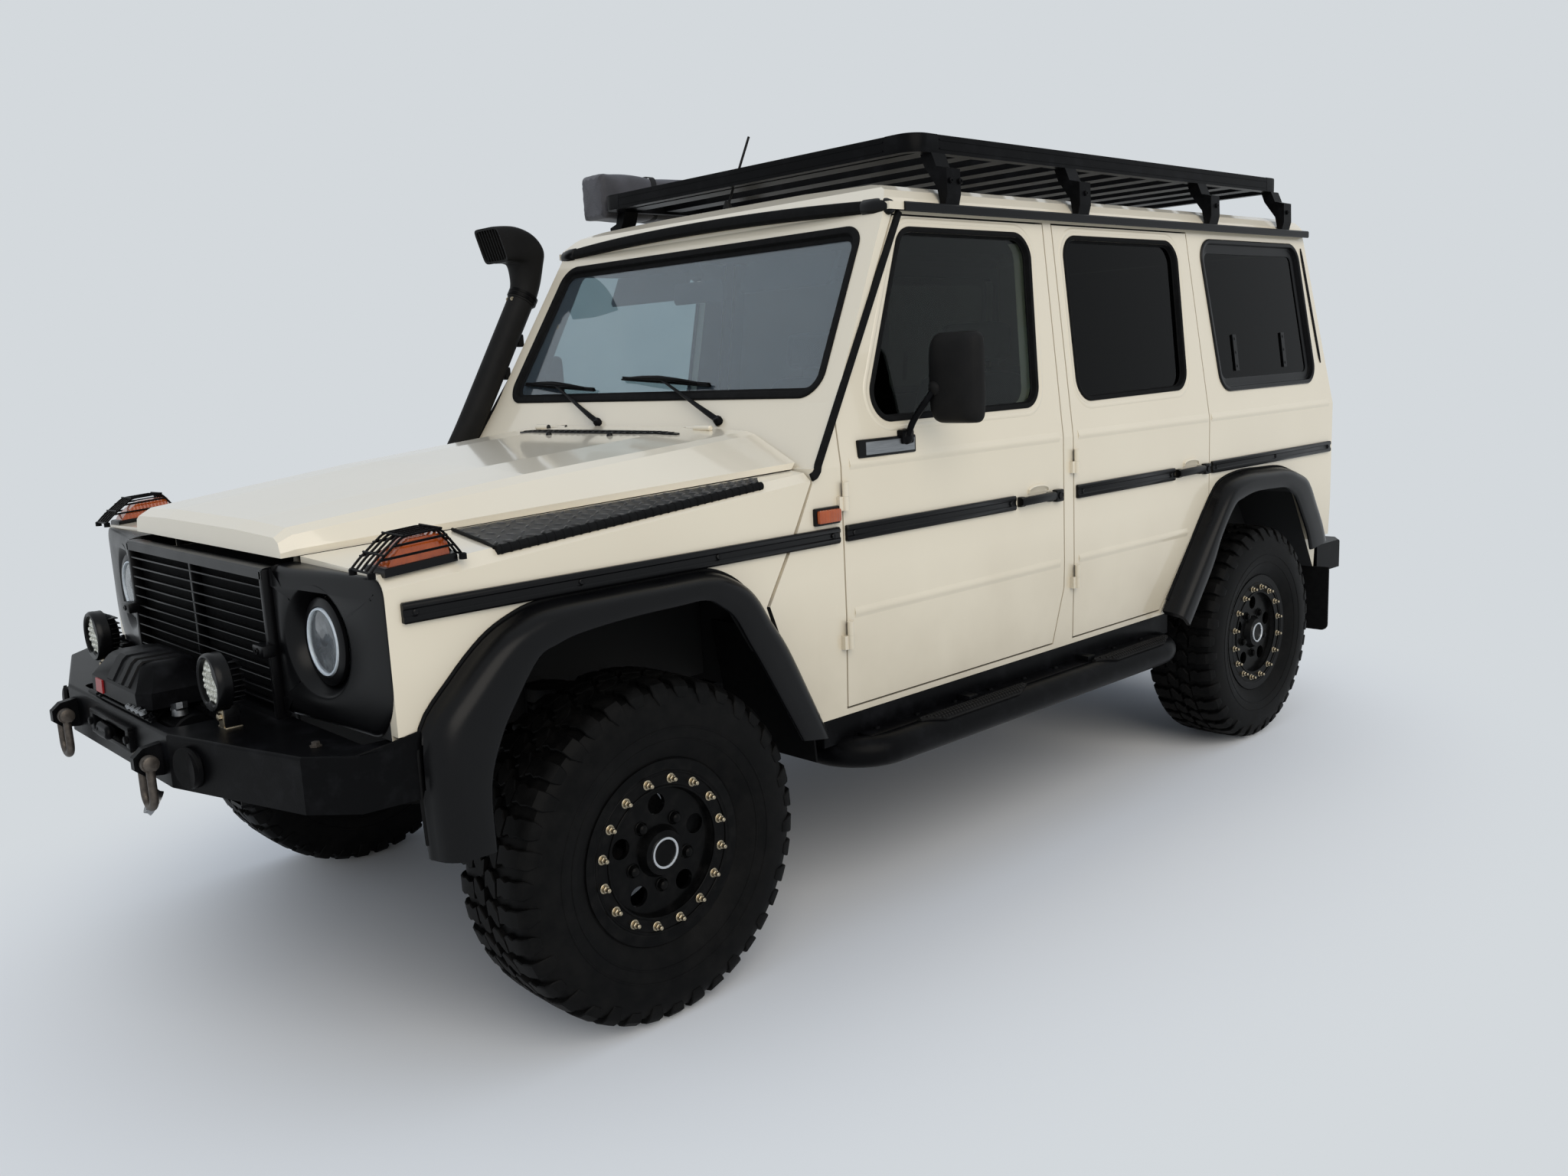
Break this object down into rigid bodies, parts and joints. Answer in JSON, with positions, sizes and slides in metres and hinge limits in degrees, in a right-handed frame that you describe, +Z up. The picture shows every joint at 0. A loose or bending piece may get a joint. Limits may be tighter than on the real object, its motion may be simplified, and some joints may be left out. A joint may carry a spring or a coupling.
{
  "type": "off-road estate car",
  "caption": "Lifted five-door off-road estate car on mud tyres, with winch bumper, wide arch flares, snorkel, roof rack, side steps, steered front wheels and hinged doors and bonnet.",
  "frame": {"origin": "on the ground under the middle of the vehicle", "axes": "+Z up, -Y towards the nose, +X towards the vehicle's left side"},
  "size_m": [2.09, 4.63, 2.2109],
  "materials": {
    "body_paint": "gloss",
    "black_steel": "satin",
    "chassis_black": "satin",
    "cast_metal": "satin",
    "rim_black": "gloss",
    "tyre": "matt",
    "black_plastic": "matt",
    "flare_plastic": "satin",
    "rubber": "matt",
    "screen_glass": "clear",
    "dark_glass": "tinted",
    "lamp_glass": "clear",
    "shackle_steel": "dull",
    "rack_aluminium": "powder coated",
    "bag_fabric": "matt",
    "seat_fabric": "matt"
  },
  "bodies": {
    "body": {"antenna": "black_plastic", "awning_bag": "bag_fabric", "body_sides": "body_paint", "cab_shell": "body_paint", "chassis_frame": "chassis_black", "dashboard": "black_plastic", "driving_lamps": "black_plastic", "engine_block": "cast_metal", "front_axle": "cast_metal", "front_bumper": "black_steel", "front_flares": "flare_plastic", "grille": "black_plastic", "headlamp_surrounds": "black_plastic", "headlamps": "lamp_glass", "mudflaps": "rubber", "quarter_windows": "dark_glass", "rear_axle": "cast_metal", "rear_bumper": "black_steel", "rear_flares": "flare_plastic", "roof": "body_paint", "roof_rack": "rack_aluminium", "seats": "seat_fabric", "side_steps": "black_steel", "snorkel": "black_plastic", "suspension": "chassis_black", "tow_shackles": "shackle_steel", "winch": "black_plastic", "windscreen": "screen_glass", "wings": "body_paint"},
    "knuckle_left_body": {"knuckle_left": "cast_metal"},
    "knuckle_right_body": {"knuckle_right": "cast_metal"},
    "wheel_front_left": {"tyre_front_left": "tyre", "rim_front_left": "rim_black"},
    "wheel_front_right": {"tyre_front_right": "tyre", "rim_front_right": "rim_black"},
    "wheel_rear_left": {"tyre_rear_left": "tyre", "rim_rear_left": "rim_black"},
    "wheel_rear_right": {"tyre_rear_right": "tyre", "rim_rear_right": "rim_black"},
    "front_left_door": {"front_door_left": "body_paint", "front_door_glass_left": "dark_glass", "mirror_left": "black_plastic"},
    "front_right_door": {"front_door_right": "body_paint", "front_door_glass_right": "dark_glass", "mirror_right": "black_plastic"},
    "rear_left_door": {"rear_door_left": "body_paint", "rear_door_glass_left": "dark_glass"},
    "rear_right_door": {"rear_door_right": "body_paint", "rear_door_glass_right": "dark_glass"},
    "tail": {"tail_door": "body_paint", "tail_window": "dark_glass"},
    "bonnet_lid": {"bonnet": "body_paint"}
  },
  "joints": [
    {"name": "steering_left", "type": "hinge", "parent": "body", "child": "knuckle_left_body", "pos_m": [0.64, -1.39, 0.404], "axis": [0, 0, 1], "range_deg": [-30, 30]},
    {"name": "steering_right", "type": "hinge", "parent": "body", "child": "knuckle_right_body", "pos_m": [-0.64, -1.39, 0.404], "axis": [0, 0, 1], "range_deg": [-30, 30]},
    {"name": "wheel_spin_front_left", "type": "hinge", "parent": "knuckle_left_body", "child": "wheel_front_left", "pos_m": [0.77, -1.39, 0.404], "axis": [1, 0, 0], "continuous": true},
    {"name": "wheel_spin_front_right", "type": "hinge", "parent": "knuckle_right_body", "child": "wheel_front_right", "pos_m": [-0.77, -1.39, 0.404], "axis": [1, 0, 0], "continuous": true},
    {"name": "wheel_spin_rear_left", "type": "hinge", "parent": "body", "child": "wheel_rear_left", "pos_m": [0.77, 1.46, 0.404], "axis": [1, 0, 0], "continuous": true},
    {"name": "wheel_spin_rear_right", "type": "hinge", "parent": "body", "child": "wheel_rear_right", "pos_m": [-0.77, 1.46, 0.404], "axis": [1, 0, 0], "continuous": true},
    {"name": "front_left_door_hinge", "type": "hinge", "parent": "body", "child": "front_left_door", "pos_m": [0.853, -0.7245, 0.97], "axis": [0, 0, -1], "range_deg": [0, 70]},
    {"name": "front_right_door_hinge", "type": "hinge", "parent": "body", "child": "front_right_door", "pos_m": [-0.853, -0.7245, 0.97], "axis": [0, 0, 1], "range_deg": [0, 70]},
    {"name": "rear_left_door_hinge", "type": "hinge", "parent": "body", "child": "rear_left_door", "pos_m": [0.853, 0.3105, 0.97], "axis": [0, 0, -1], "range_deg": [0, 70]},
    {"name": "rear_right_door_hinge", "type": "hinge", "parent": "body", "child": "rear_right_door", "pos_m": [-0.853, 0.3105, 0.97], "axis": [0, 0, 1], "range_deg": [0, 70]},
    {"name": "tail_door_hinge", "type": "hinge", "parent": "body", "child": "tail", "pos_m": [-0.6425, 2.163, 0.98], "axis": [0, 0, 1], "range_deg": [0, 95]},
    {"name": "bonnet_hinge", "type": "hinge", "parent": "body", "child": "bonnet_lid", "pos_m": [0, -0.778, 1.322], "axis": [-1, 0, 0], "range_deg": [0, 60]}
  ],
  "couplings": [
    {"joint": "steering_right", "follows": "steering_left", "ratio": 1}
  ]
}
